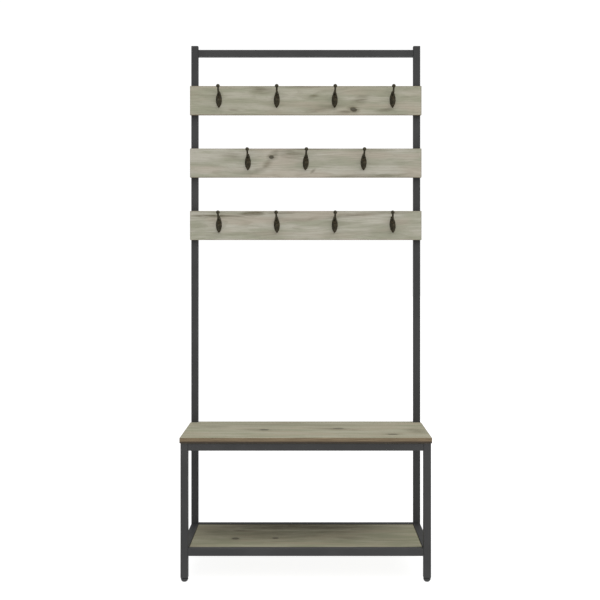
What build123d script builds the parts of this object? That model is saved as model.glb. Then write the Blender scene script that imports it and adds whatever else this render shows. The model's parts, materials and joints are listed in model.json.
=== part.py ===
from build123d import *
import math
import os

# A hall tree: a square-tube steel frame with a wooden seat, a lower shelf, three boards and eleven hooks.
# Millimetres. X runs across the front, Y from the front (-) to the back (+), and Z up from the floor.
# The origin is on the floor, under the middle of the object.

# ---------------------------------------------------------------- driving dimensions
TOTAL_HEIGHT = 1829.0  # to the top of the post caps
FRAME_WIDTH = 824.0
FRAME_DEPTH = 400.0
OVERHANG = 3.0  # of the wooden boards beyond the frame, at the front and both sides

TUBE = 25.0
TUBE_WALL = 1.5
TUBE_CORNER = 2.5
LEAST_CORNER = 0.4  # of the inside of a tube

SEAT_TOP = 475.0
SEAT_THICKNESS = 18.0
SHELF_RAIL_TOP = 111.0
SHELF_THICKNESS = 15.0
SHELF_RECESS = 3.0  # of the shelf's top below the top of its rails
SHELF_GAP = 1.0  # all round, between the shelf and its rails
SEAT_NOTCH_GAP = 0.5  # between the seat's cut corners and the back posts

CROSSBAR_TOP = 1815.0
HOOK_BOARD_HEIGHT = 104.0
HOOK_BOARD_THICKNESS = 15.0
TOP_BOARD_CENTRE = 1630.5
HOOK_BOARD_PITCH = 224.0
BOARD_EDGE = 1.2  # radius of the eased edges of the wood
PAST = 1.0  # how far a cut runs past a face that it opens

# ---------------------------------------------------------------- hooks
HOOK_BELOW_EDGE = 50.5  # the leaf's centre, below the top edge of its board
LEAF_THICKNESS = 3.5
LEAF_TOP = 31.0
LEAF_BOTTOM = -28.5
LEAF_HALF_WIDTH = 10.75
LEAF_NECK = 3.6  # half width at the top of the leaf
# Points that bend the leaf's curved sides, as shares of its half width and of its height from the centre.
LEAF_SHOULDERS = ((1.0, 0.39), (0.6, 0.71))
LEAF_POINT = ((1.0, 0.39), (0.79, 0.7))
LEAF_EASE = 0.9
ARM_ROOT = 22.0  # height of the upper arm's root above the leaf's centre
ARM_REACH = 50.0
ARM_RISE = 44.0
ARM_SLOPE = 60.0  # degrees, of the arm's rising end
ARM_BEND = 28.0
ARM_DIAMETER = 7.5
ARM_BALL = 13.5
PRONG_ROOT = -3.2
PRONG_CORNER = (22.5, -23.9)  # forward and up, where the prong's two straight runs would meet
PRONG_TIP = (26.3, -2.5)
PRONG_BEND = 9.0
PRONG_DIAMETER = 5.8
PRONG_BALL = 9.5
ROOT_BEHIND = 2.0  # each arm starts this far behind the leaf's back, where it is trimmed flush
# Each hook is set by hand, so some lean: degrees, positive with the top leaning towards +X.
HOOK_ROWS = {
    "top": (0.0, 1.0, 1.0, 1.0),
    "middle": (0.0, 3.0, 1.0),
    "lower": (0.0, -2.0, 1.0, -4.0),
}

# ---------------------------------------------------------------- fasteners
BOLT = 6.0
BOLT_HOLE = 6.4
BOLT_THREAD = 6.1  # bore of the threaded pieces round an M6 bolt
BOLT_HEAD = 10.5
BOLT_HEAD_HEIGHT = OVERHANG
BOLT_SOCKET = 4.0  # across flats
HEAD_ROUNDING = 0.6  # share of a head's height that is rounded over
SOCKET_DEPTH = 0.6  # share of a bolt's head
FRAME_BOLT_LENGTH = 16.0
ACCESS_HOLE = 13.0  # in the outer wall of a leg or post, for the head of a frame bolt to go in through
ACCESS_CAP_DEPTH = 4.0
ACCESS_CAP_WALL = 1.4
ACCESS_CAP_EASE = 0.3
BOARD_BOLT_LENGTH = 35.0
JOINER_BOLT_LENGTH = 10.0
BOARD_BOLT_SPREAD = 64.0  # between the two bolts at each end of a hook board
INSERT_DIAMETER = 9.0
INSERT_LENGTH = 12.0
WOOD_SCREW = 4.2
WOOD_SCREW_HOLE = 4.6
WOOD_SCREW_HEAD = 8.0
WOOD_SCREW_HEAD_HEIGHT = 2.4
SEAT_SCREW_LENGTH = 16.0
SEAT_SCREW_ACCESS = 10.0  # hole in a rail's lower wall, for the screw's head and the driver
SEAT_SCREW_X = 200.0  # from the middle, of those in the front and rear rails
SEAT_SCREW_Y = 90.0  # from the middle, of those in the side rails
SHELF_SCREW_LENGTH = 12.0
SCREW_POINT = 0.3  # radius left at the tip of a screw
CROSS_LENGTH = 4.0  # of the cross recess in a pan head
CROSS_WIDTH = 0.9
CROSS_DEPTH = 1.2
HOOK_SCREW = 3.5
HOOK_SCREW_HEAD = 7.0
HOOK_SCREW_CONE = 2.0
HOOK_SCREW_LENGTH = 16.0
HOOK_SCREW_TIP = 1.5
HOOK_CROSS_LENGTH = 3.6
HOOK_CROSS_WIDTH = 0.8
HOOK_CROSS_DEPTH = 1.1
HOOK_SCREW_HEIGHTS = (9.0, -21.5)  # from the leaf's centre
FIT = 0.1  # on a diameter, between a piece and the hole that it is fixed or turns in
ANCHOR_HOLE = 5.2
ANCHOR_SPACING = 600.0

# ---------------------------------------------------------------- hidden pieces and feet
SLEEVE_GAP = 0.1
SLEEVE = TUBE - 2 * (TUBE_WALL + SLEEVE_GAP)  # outer size of what slides into a tube
SLEEVE_CORNER = 0.9
JOINER_LENGTH = 120.0
JOINER_BOLT_ABOVE = 40.0  # above the joint between the leg and the post
PLUG_LENGTH = 16.0
CAP_THICKNESS = 3.0
CAP_CORNER = 3.0
CAP_EASE = 1.4
CAP_PLUG_LENGTH = 12.0
CAP_PLUG_WALL = 2.0
TAB_WIDTH = 30.0
TAB_REACH = 20.0
TAB_THICKNESS = 2.0
TAB_X = 250.0  # from the middle, of the tabs on the front and rear rails
TAB_SCREW_REACH = 12.0  # from the rail to the screw

PAD_RADIUS = 12.3
PAD_FLAT_RADIUS = 5.5
PAD_HEIGHT = 10.7
PAD_WIDEST = 10.2  # height at which the domed pad is widest
PAD_DOME = (10.1, 3.85)  # radius and height of a point that its rounded side passes through
STEM_DIAMETER = 8.0
STEM_TOP = 44.0
STEM_DISC_DIAMETER = 12.0
STEM_DISC_BOTTOM = 3.0
STEM_DISC_TOP = 5.4
STEM_CHAMFER = 0.8
COLLAR_FLATS = 21.0
COLLAR_BOTTOM = 10.9
COLLAR_TOP = 14.7
FLANGE_BOTTOM = 15.0
FLANGE_THICKNESS = 2.0
FOOT_PLUG_HEIGHT = 20.0

# ---------------------------------------------------------------- places worked out from them
HALF_WIDTH = FRAME_WIDTH / 2
HALF_DEPTH = FRAME_DEPTH / 2
POST_X = HALF_WIDTH - TUBE / 2
FRONT_Y = -HALF_DEPTH + TUBE / 2
REAR_Y = HALF_DEPTH - TUBE / 2
INNER_X = HALF_WIDTH - TUBE
INNER_Y = HALF_DEPTH - TUBE
BOARD_WIDTH = FRAME_WIDTH + 2 * OVERHANG
LEG_BOTTOM = FLANGE_BOTTOM + FLANGE_THICKNESS
LEG_TOP = SEAT_TOP - SEAT_THICKNESS
POST_TOP = TOTAL_HEIGHT - CAP_THICKNESS
SEAT_RAIL_Z = LEG_TOP - TUBE / 2
SHELF_RAIL_Z = SHELF_RAIL_TOP - TUBE / 2
CROSSBAR_Z = CROSSBAR_TOP - TUBE / 2
SHELF_TOP = SHELF_RAIL_TOP - SHELF_RECESS
SHELF_BOTTOM = SHELF_TOP - SHELF_THICKNESS
BOARD_FRONT_Y = INNER_Y - HOOK_BOARD_THICKNESS
BOARD_CENTRES = {
    name: TOP_BOARD_CENTRE - row * HOOK_BOARD_PITCH for row, name in enumerate(HOOK_ROWS)
}
SIDES = {"left": -1, "right": 1}
ENDS = {"front": -1, "rear": 1}

os.makedirs("parts", exist_ok=True)


def save(name, shape):
    """Write one piece, or one group of identical loose pieces, as its own file."""
    if isinstance(shape, list):
        shape = Compound(children=shape)
    export_step(shape, os.path.join("parts", name + ".step"))


# ---------------------------------------------------------------- shapes used more than once
def hollow_section(size, corner):
    """The outline of a square tube with rounded corners."""
    inside = size - 2 * TUBE_WALL
    inside_corner = max(corner - TUBE_WALL, LEAST_CORNER)
    return RectangleRounded(size, size, corner) - RectangleRounded(inside, inside, inside_corner)


def upright(x, y, bottom, top):
    """A frame tube standing on end."""
    return Pos(x, y, bottom) * extrude(hollow_section(TUBE, TUBE_CORNER), top - bottom)


def cross_tube(y, z):
    """A frame tube across the frame, between the inner faces of two uprights."""
    bar = extrude(hollow_section(TUBE, TUBE_CORNER), 2 * INNER_X)
    return Pos(-INNER_X, y, z) * Rot(0, 90, 0) * bar


def side_tube(x, z):
    """A frame tube from the front leg to the rear leg."""
    bar = extrude(hollow_section(TUBE, TUBE_CORNER), 2 * INNER_Y)
    return Pos(x, -INNER_Y, z) * Rot(-90, 0, 0) * bar


def rod(start, direction, length, diameter):
    """A round bar, also used to drill holes."""
    return extrude(Plane(origin=start, z_dir=direction) * Circle(diameter / 2), length)


def block(low, high):
    """A box between two corners."""
    size = [b - a for a, b in zip(low, high)]
    centre = [(a + b) / 2 for a, b in zip(low, high)]
    return Pos(*centre) * Box(*size)


def bolt(seat, direction, length):
    """An M6 button-head bolt with a hex socket. Its head rests on seat and its shank runs along direction."""
    head = Pos(0, 0, -BOLT_HEAD_HEIGHT / 2) * Cylinder(BOLT_HEAD / 2, BOLT_HEAD_HEIGHT)
    rim = head.edges().group_by(Axis.Z)[0]
    head = fillet(rim, BOLT_HEAD_HEIGHT * HEAD_ROUNDING)
    head += Pos(0, 0, length / 2) * Cylinder(BOLT / 2, length)
    socket = RegularPolygon(BOLT_SOCKET / 2, 6, major_radius=False)
    head -= Pos(0, 0, -BOLT_HEAD_HEIGHT) * extrude(socket, BOLT_HEAD_HEIGHT * SOCKET_DEPTH)
    return Plane(origin=seat, z_dir=direction).location * head


def wood_screw(seat, length):
    """A pan-head screw pointing up, with a cross recess. The head's flat side is at seat."""
    head = Pos(0, 0, -WOOD_SCREW_HEAD_HEIGHT / 2) * Cylinder(
        WOOD_SCREW_HEAD / 2, WOOD_SCREW_HEAD_HEIGHT
    )
    rim = head.edges().group_by(Axis.Z)[0]
    head = fillet(rim, WOOD_SCREW_HEAD_HEIGHT * HEAD_ROUNDING)
    tip = WOOD_SCREW / 2
    head += Pos(0, 0, (length - tip) / 2) * Cylinder(WOOD_SCREW / 2, length - tip)
    head += Pos(0, 0, length - tip / 2) * Cone(WOOD_SCREW / 2, SCREW_POINT, tip)
    slot = Pos(0, 0, -WOOD_SCREW_HEAD_HEIGHT) * Box(CROSS_LENGTH, CROSS_WIDTH, 2 * CROSS_DEPTH)
    for turn in (0, 90):
        head -= Rot(0, 0, turn) * slot
    return Pos(*seat) * head


# ---------------------------------------------------------------- frame
CROSS_RAILS = {
    "front_seat_rail": (FRONT_Y, SEAT_RAIL_Z),
    "rear_seat_rail": (REAR_Y, SEAT_RAIL_Z),
    "front_shelf_rail": (FRONT_Y, SHELF_RAIL_Z),
    "rear_shelf_rail": (REAR_Y, SHELF_RAIL_Z),
    "top_crossbar": (REAR_Y, CROSSBAR_Z),
}


def frame_bolt_seats(name, y, z):
    """Where the bolts into a cross rail's ends rest: on the inner wall of the upright or of its joiner."""
    depth = TUBE_WALL
    if name == "rear_seat_rail":
        depth += SLEEVE_GAP + TUBE_WALL
    return [(Vector(side * (INNER_X + depth), y, z), Vector(-side, 0, 0)) for side in SIDES.values()]


FRAME_BOLTS = [seat for name, (y, z) in CROSS_RAILS.items() for seat in frame_bolt_seats(name, y, z)]
BOARD_BOLTS = [
    (Vector(side * POST_X, HALF_DEPTH, centre + end * BOARD_BOLT_SPREAD / 2), Vector(0, -1, 0))
    for centre in BOARD_CENTRES.values()
    for side in SIDES.values()
    for end in (-1, 1)
]
JOINER_BOLTS = [
    (Vector(side * POST_X, HALF_DEPTH, LEG_TOP + JOINER_BOLT_ABOVE), Vector(0, -1, 0))
    for side in SIDES.values()
]
# The seat's screws rest inside the rails, against the upper wall.
SEAT_SCREW_SEAT = LEG_TOP - TUBE_WALL
SEAT_SCREWS = [(side * POST_X, end * SEAT_SCREW_Y, SEAT_SCREW_SEAT) for side in (-1, 1) for end in (-1, 1)]
SEAT_SCREWS += [(side * SEAT_SCREW_X, y, SEAT_SCREW_SEAT) for side in (-1, 1) for y in (FRONT_Y, REAR_Y)]
# A tab's place on its rail, and the direction in X and Y that it points in.
TAB_PLACES = [(side * TAB_X, end * INNER_Y, 0.0, -end) for side in (-1, 1) for end in (-1, 1)]
TAB_PLACES += [(side * INNER_X, 0.0, -side, 0.0) for side in (-1, 1)]


def bored_for_frame_bolts(tube):
    """Cut a hole for each frame bolt's shank inwards from its seat, and a wide one for its head outwards."""
    for seat, direction in FRAME_BOLTS:
        tube -= rod(seat, direction, TUBE / 2, BOLT_HOLE)
        tube -= rod(seat, -direction, TUBE, ACCESS_HOLE)
    return tube


def drilled(tube):
    """Cut the holes for every bolt and screw that meets this tube."""
    tube = bored_for_frame_bolts(tube)
    for seat, direction in BOARD_BOLTS:
        tube -= rod(seat - direction * PAST, direction, TUBE + 2 * PAST, BOLT_HOLE)
    for seat, direction in JOINER_BOLTS:
        tube -= rod(seat - direction * PAST, direction, TUBE / 2, BOLT_HOLE)
    for seat in SEAT_SCREWS:
        tube -= rod(seat, (0, 0, 1), TUBE_WALL, WOOD_SCREW_HOLE)
        tube -= rod(seat, (0, 0, -1), TUBE, SEAT_SCREW_ACCESS)
    return tube


def make_frame():
    for name, side in SIDES.items():
        x = side * POST_X
        save(f"{name}_front_leg", drilled(upright(x, FRONT_Y, LEG_BOTTOM, LEG_TOP)))
        save(f"{name}_rear_leg", drilled(upright(x, REAR_Y, LEG_BOTTOM, LEG_TOP)))
        save(f"{name}_back_post", drilled(upright(x, REAR_Y, LEG_TOP, POST_TOP)))
        save(f"{name}_seat_side_rail", drilled(side_tube(x, SEAT_RAIL_Z)))
        save(f"{name}_shelf_side_rail", side_tube(x, SHELF_RAIL_Z))
    for name, (y, z) in CROSS_RAILS.items():
        rail = cross_tube(y, z)
        if name == "top_crossbar":
            for side in SIDES.values():
                start = (side * ANCHOR_SPACING / 2, HALF_DEPTH + PAST, z)
                rail -= rod(start, (0, -1, 0), TUBE / 2, ANCHOR_HOLE)
        save(name, drilled(rail) if "seat" in name else rail)


def make_post_joiners():
    """A sleeve inside each joint between a rear leg and its back post."""
    for name, side in SIDES.items():
        sleeve = extrude(hollow_section(SLEEVE, SLEEVE_CORNER), JOINER_LENGTH)
        sleeve = Pos(side * POST_X, REAR_Y, LEG_TOP - JOINER_LENGTH / 2) * sleeve
        sleeve = bored_for_frame_bolts(sleeve)
        for seat, direction in JOINER_BOLTS:
            sleeve -= rod(seat, direction, TUBE / 2, BOLT_THREAD)
        save(f"{name}_post_joiner", sleeve)


def make_rail_end_plugs():
    """A threaded plug in each end of each cross rail and of the top crossbar."""
    plugs = []
    for seat, direction in FRAME_BOLTS:
        start = Vector(-direction.X * INNER_X, seat.Y, seat.Z)
        plug = extrude(RectangleRounded(SLEEVE, SLEEVE, SLEEVE_CORNER), PLUG_LENGTH)
        plug -= Pos(0, 0, PLUG_LENGTH / 2) * Cylinder(BOLT_THREAD / 2, PLUG_LENGTH + PAST)
        turned = Plane(origin=start, x_dir=(0, 1, 0), z_dir=direction).location
        plugs.append(turned * plug)
    save("rail_end_plugs", plugs)


def make_post_caps():
    """A plastic cap with a hollow plug, pressed into the top of each back post."""
    plate = extrude(RectangleRounded(TUBE, TUBE, CAP_CORNER), CAP_THICKNESS)
    plate = fillet(plate.edges().group_by(Axis.Z)[-1], CAP_EASE)
    plug = extrude(RectangleRounded(SLEEVE, SLEEVE, SLEEVE_CORNER), CAP_PLUG_LENGTH)
    inside = SLEEVE - 2 * CAP_PLUG_WALL
    plug -= extrude(Rectangle(inside, inside), CAP_PLUG_LENGTH)
    cap = plate + Pos(0, 0, -CAP_PLUG_LENGTH) * plug
    for name, side in SIDES.items():
        save(f"{name}_post_cap", Pos(side * POST_X, REAR_Y, POST_TOP) * cap)


def make_access_caps():
    """A plastic cap, flush with the tube, in each hole that a frame bolt's head went in through."""
    radius = (ACCESS_HOLE - FIT) / 2
    cap = Pos(0, 0, ACCESS_CAP_DEPTH / 2) * Cylinder(radius, ACCESS_CAP_DEPTH)
    cap = chamfer(cap.edges().group_by(Axis.Z)[0], ACCESS_CAP_EASE)
    hollow = Cylinder(radius - ACCESS_CAP_WALL, ACCESS_CAP_DEPTH)
    cap -= Pos(0, 0, ACCESS_CAP_DEPTH / 2 + ACCESS_CAP_WALL) * hollow
    caps = []
    for seat, direction in FRAME_BOLTS:
        mouth = Vector(-direction.X * HALF_WIDTH, seat.Y, seat.Z)
        caps.append(Plane(origin=mouth, z_dir=direction).location * cap)
    save("bolt_access_caps", caps)


def make_bolts():
    save("frame_bolts", [bolt(seat, way, FRAME_BOLT_LENGTH) for seat, way in FRAME_BOLTS])
    save("board_bolts", [bolt(seat, way, BOARD_BOLT_LENGTH) for seat, way in BOARD_BOLTS])
    save("joiner_bolts", [bolt(seat, way, JOINER_BOLT_LENGTH) for seat, way in JOINER_BOLTS])


# ---------------------------------------------------------------- seat and shelf
def make_seat():
    """The seat lies on the seat rails and is cut away at the rear corners for the back posts."""
    low = (-BOARD_WIDTH / 2, -HALF_DEPTH - OVERHANG, LEG_TOP)
    high = (BOARD_WIDTH / 2, HALF_DEPTH, SEAT_TOP)
    seat = block(low, high)
    notch_width = BOARD_WIDTH / 2 - INNER_X + SEAT_NOTCH_GAP + PAST
    notch_depth = TUBE + SEAT_NOTCH_GAP + PAST
    for side in SIDES.values():
        x = side * (BOARD_WIDTH / 2 + PAST - notch_width / 2)
        y = HALF_DEPTH + PAST - notch_depth / 2
        seat -= Pos(x, y, SEAT_TOP) * Box(notch_width, notch_depth, 3 * SEAT_THICKNESS)
    seat = fillet(seat.edges(), BOARD_EDGE)
    for x, y, z in SEAT_SCREWS:
        seat -= rod((x, y, LEG_TOP), (0, 0, 1), SEAT_SCREW_LENGTH - TUBE_WALL, WOOD_SCREW + FIT)
    save("seat_board", seat)
    save("seat_screws", [wood_screw(place, SEAT_SCREW_LENGTH) for place in SEAT_SCREWS])


def tab_screw_place(tab):
    """The middle of a shelf tab's screw hole, on the tab's underside."""
    x, y, inward_x, inward_y = tab
    bottom = SHELF_BOTTOM - TAB_THICKNESS
    return (x + inward_x * TAB_SCREW_REACH, y + inward_y * TAB_SCREW_REACH, bottom)


def make_shelf():
    """The shelf lies inside its four rails, on small tabs welded to them."""
    reach_x = INNER_X - SHELF_GAP
    reach_y = INNER_Y - SHELF_GAP
    shelf = block((-reach_x, -reach_y, SHELF_BOTTOM), (reach_x, reach_y, SHELF_TOP))
    shelf = fillet(shelf.edges(), BOARD_EDGE)
    tabs = []
    screws = []
    for tab in TAB_PLACES:
        x, y, inward_x, inward_y = tab
        size_x = TAB_REACH if inward_x else TAB_WIDTH
        size_y = TAB_REACH if inward_y else TAB_WIDTH
        centre = (
            x + inward_x * TAB_REACH / 2,
            y + inward_y * TAB_REACH / 2,
            SHELF_BOTTOM - TAB_THICKNESS / 2,
        )
        screw = tab_screw_place(tab)
        plate = Pos(*centre) * Box(size_x, size_y, TAB_THICKNESS)
        tabs.append(plate - rod(screw, (0, 0, 1), TAB_THICKNESS, WOOD_SCREW_HOLE))
        screws.append(wood_screw(screw, SHELF_SCREW_LENGTH))
        start = (screw[0], screw[1], SHELF_BOTTOM)
        shelf -= rod(start, (0, 0, 1), SHELF_SCREW_LENGTH, WOOD_SCREW + FIT)
    save("shelf_board", shelf)
    save("shelf_tabs", tabs)
    save("shelf_screws", screws)


# ---------------------------------------------------------------- hooks and their boards
def hook_places(row):
    """Name, place and lean of each hook in a row. Rows of three sit half a space in from rows of four."""
    leans = HOOK_ROWS[row]
    most = max(len(leans) for leans in HOOK_ROWS.values())
    spacing = BOARD_WIDTH / most
    z = BOARD_CENTRES[row] + HOOK_BOARD_HEIGHT / 2 - HOOK_BELOW_EDGE
    for number, lean in enumerate(leans):
        x = (number - (len(leans) - 1) / 2) * spacing
        yield f"hook_{row}_{number + 1}", Pos(x, BOARD_FRONT_Y, z) * Rot(0, lean, 0)


def leaf_outline():
    """The hook's leaf-shaped base plate, widest at its centre and pointed at the bottom."""
    with BuildSketch(Plane.XZ) as leaf:
        with BuildLine():
            for side in SIDES.values():
                w = side * LEAF_HALF_WIDTH
                shoulders = [(w * across, LEAF_TOP * up) for across, up in LEAF_SHOULDERS]
                point = [(w * across, LEAF_BOTTOM * down) for across, down in LEAF_POINT]
                Bezier((w, 0), *shoulders, (side * LEAF_NECK, LEAF_TOP))
                Bezier((w, 0), *point, (0, LEAF_BOTTOM))
            Line((-LEAF_NECK, LEAF_TOP), (LEAF_NECK, LEAF_TOP))
        make_face()
    return leaf.sketch


def round_arm(points, bend, diameter):
    """A round bar along two straight runs and the bend between them."""
    path = FilletPolyline(*[(0, -forward, up) for forward, up in points], radius=bend)
    return sweep(Plane(origin=path @ 0, z_dir=path % 0) * Circle(diameter / 2), path=path)


def make_hook_shape():
    """A cast double hook, with the middle of its leaf at the origin and the board behind it at Y = 0."""
    leaf = extrude(leaf_outline(), LEAF_THICKNESS)
    leaf = chamfer(leaf.faces().sort_by(Axis.Y)[0].edges(), LEAF_EASE)
    run = (ARM_RISE - ARM_ROOT) / math.tan(math.radians(ARM_SLOPE))
    arm_corner = (ARM_REACH - run, ARM_ROOT)
    arm_points = ((-ROOT_BEHIND, ARM_ROOT), arm_corner, (ARM_REACH, ARM_RISE))
    prong_points = ((-ROOT_BEHIND, PRONG_ROOT), PRONG_CORNER, PRONG_TIP)
    hook = leaf + round_arm(arm_points, ARM_BEND, ARM_DIAMETER)
    hook += Pos(0, -ARM_REACH, ARM_RISE) * Sphere(ARM_BALL / 2)
    hook += round_arm(prong_points, PRONG_BEND, PRONG_DIAMETER)
    hook += Pos(0, -PRONG_TIP[0], PRONG_TIP[1]) * Sphere(PRONG_BALL / 2)
    hook -= block((-LEAF_HALF_WIDTH, 0, LEAF_BOTTOM), (LEAF_HALF_WIDTH, 3 * ROOT_BEHIND, LEAF_TOP))
    for z in HOOK_SCREW_HEIGHTS:
        hook -= Pos(0, 0, z) * screw_outline(FIT, 0)
    return hook


def screw_outline(extra, length):
    """A countersunk screw's outer shape, pointing into the board, or with no length its hole in the leaf."""
    r = HOOK_SCREW / 2 + extra / 2
    head = HOOK_SCREW_HEAD / 2 + extra / 2
    end = length - LEAF_THICKNESS if length else PAST
    profile = Polyline(
        (0, LEAF_THICKNESS),
        (head, LEAF_THICKNESS),
        (r, LEAF_THICKNESS - HOOK_SCREW_CONE),
        (r, HOOK_SCREW_TIP - end),
        (SCREW_POINT if length else r, -end),
        (0, -end),
        close=True,
    )
    return Rot(90, 0, 0) * revolve(Plane.XZ * make_face(profile), Axis.Z)


def make_hook_screw():
    """A countersunk screw with a cross recess, flush with the face of the leaf."""
    screw = screw_outline(0, HOOK_SCREW_LENGTH)
    slot = Box(HOOK_CROSS_LENGTH, 2 * HOOK_CROSS_DEPTH, HOOK_CROSS_WIDTH)
    for turn in (0, 90):
        screw -= Pos(0, -LEAF_THICKNESS, 0) * Rot(0, turn, 0) * slot
    return screw


def make_hooks_and_boards():
    hook = make_hook_shape()
    screw = make_hook_screw()
    screws = []
    inserts = []
    for row, centre in BOARD_CENTRES.items():
        low = (-BOARD_WIDTH / 2, BOARD_FRONT_Y, centre - HOOK_BOARD_HEIGHT / 2)
        high = (BOARD_WIDTH / 2, INNER_Y, centre + HOOK_BOARD_HEIGHT / 2)
        board = block(low, high)
        board = fillet(board.edges(), BOARD_EDGE)
        for name, place in hook_places(row):
            save(name, place * hook)
            for z in HOOK_SCREW_HEIGHTS:
                screws.append(place * Pos(0, 0, z) * screw)
                depth = HOOK_SCREW_LENGTH - LEAF_THICKNESS + FIT
                pilot = rod((0, -PAST, z), (0, 1, 0), depth + PAST, HOOK_SCREW + FIT)
                board -= place * pilot
        for seat, direction in BOARD_BOLTS:
            if abs(seat.Z - centre) < HOOK_BOARD_HEIGHT / 2:
                mouth = Vector(seat.X, INNER_Y, seat.Z)
                board -= rod(mouth, direction, INSERT_LENGTH + FIT, INSERT_DIAMETER + FIT)
                insert = rod(mouth, direction, INSERT_LENGTH, INSERT_DIAMETER)
                inserts.append(insert - rod(mouth, direction, INSERT_LENGTH, BOLT_THREAD))
        save(f"{row}_hook_board", board)
    save("hook_screws", screws)
    save("board_inserts", inserts)


# ---------------------------------------------------------------- levelling feet
def make_foot_insert():
    """A plastic insert in the leg's end, with a threaded bore and a flange as wide as the tube."""
    insert = extrude(RectangleRounded(SLEEVE, SLEEVE, SLEEVE_CORNER), FOOT_PLUG_HEIGHT)
    insert = Pos(0, 0, LEG_BOTTOM) * insert
    flange = extrude(RectangleRounded(TUBE, TUBE, TUBE_CORNER), FLANGE_THICKNESS)
    insert += Pos(0, 0, FLANGE_BOTTOM) * flange
    return insert - rod((0, 0, 0), (0, 0, 1), 2 * STEM_TOP, STEM_DIAMETER + FIT)


def make_foot_stem():
    """A threaded steel stem with a hexagonal collar, and a disc at its foot that the pad snaps over."""
    stem = rod((0, 0, STEM_DISC_BOTTOM), (0, 0, 1), STEM_TOP - STEM_DISC_BOTTOM, STEM_DIAMETER)
    stem = chamfer(stem.edges().group_by(Axis.Z)[-1], STEM_CHAMFER)
    disc_height = STEM_DISC_TOP - STEM_DISC_BOTTOM
    stem += rod((0, 0, STEM_DISC_BOTTOM), (0, 0, 1), disc_height, STEM_DISC_DIAMETER)
    collar = RegularPolygon(COLLAR_FLATS / 2, 6, major_radius=False)
    return stem + Pos(0, 0, COLLAR_BOTTOM) * extrude(collar, COLLAR_TOP - COLLAR_BOTTOM)


def make_foot_pad():
    """A domed pad with a flat at the floor and a socket for the stem's disc."""
    with BuildSketch(Plane.XZ) as half:
        with BuildLine():
            Line((0, 0), (PAD_FLAT_RADIUS, 0))
            ThreePointArc((PAD_FLAT_RADIUS, 0), PAD_DOME, (PAD_RADIUS, PAD_WIDEST))
            Line((PAD_RADIUS, PAD_WIDEST), (PAD_RADIUS, PAD_HEIGHT))
            Line((PAD_RADIUS, PAD_HEIGHT), (0, PAD_HEIGHT))
            Line((0, PAD_HEIGHT), (0, 0))
        make_face()
    pad = revolve(half.sketch, Axis.Z)
    room = FIT / 2
    socket_height = STEM_DISC_TOP - STEM_DISC_BOTTOM + 2 * room
    socket_start = (0, 0, STEM_DISC_BOTTOM - room)
    pad -= rod(socket_start, (0, 0, 1), socket_height, STEM_DISC_DIAMETER + FIT)
    return pad - rod(socket_start, (0, 0, 1), PAD_HEIGHT, STEM_DIAMETER + FIT)


def make_feet():
    pieces = {
        "foot_insert": make_foot_insert(),
        "foot_stem": make_foot_stem(),
        "foot_pad": make_foot_pad(),
    }
    for end_name, end in ENDS.items():
        for side_name, side in SIDES.items():
            place = Pos(side * POST_X, end * REAR_Y, 0)
            for piece_name, piece in pieces.items():
                save(f"{end_name}_{side_name}_{piece_name}", place * piece)


make_frame()
make_post_joiners()
make_rail_end_plugs()
make_post_caps()
make_access_caps()
make_bolts()
make_seat()
make_shelf()
make_hooks_and_boards()
make_feet()
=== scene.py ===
"""Looks for the hall tree: materials, smooth cast hooks, a pale floor, soft light and the camera.

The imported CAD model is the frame. X runs across the front, Y from the front to the back, and Z up from the
floor, in metres. Places come from the CAD nodes' own boxes.
"""

import json
import math

import bmesh
import bpy
from mathutils import Matrix, Vector


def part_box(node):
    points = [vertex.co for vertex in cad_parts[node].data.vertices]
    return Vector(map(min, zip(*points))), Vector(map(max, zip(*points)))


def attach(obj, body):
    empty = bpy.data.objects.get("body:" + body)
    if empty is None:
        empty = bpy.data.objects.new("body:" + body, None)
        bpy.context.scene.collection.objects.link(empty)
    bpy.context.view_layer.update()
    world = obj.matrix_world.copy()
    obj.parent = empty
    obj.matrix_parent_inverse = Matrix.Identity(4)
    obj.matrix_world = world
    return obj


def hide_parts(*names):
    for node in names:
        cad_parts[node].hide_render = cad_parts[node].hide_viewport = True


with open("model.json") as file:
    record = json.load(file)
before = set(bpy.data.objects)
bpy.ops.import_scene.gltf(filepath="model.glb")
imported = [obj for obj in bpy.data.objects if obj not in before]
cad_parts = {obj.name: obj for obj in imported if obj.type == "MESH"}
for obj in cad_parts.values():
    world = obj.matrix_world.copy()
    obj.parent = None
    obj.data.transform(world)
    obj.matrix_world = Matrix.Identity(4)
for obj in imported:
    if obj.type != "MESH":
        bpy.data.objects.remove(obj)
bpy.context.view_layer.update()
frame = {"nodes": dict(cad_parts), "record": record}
NODES = frame["nodes"]
MM = 0.001


# ---------------------------------------------------------------- colours and shader nodes
def srgb(red, green, blue):
    """A colour given as 0 to 255 display values, as the linear RGBA that the shaders use."""
    channels = [c / 255 for c in (red, green, blue)]
    linear = [c / 12.92 if c <= 0.04045 else ((c + 0.055) / 1.055) ** 2.4 for c in channels]
    return (*linear, 1.0)


def scaled(colour, share):
    """A colour with its light scaled, no brighter than white."""
    return (*(min(c * share, 1.0) for c in colour[:3]), 1.0)


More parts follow.
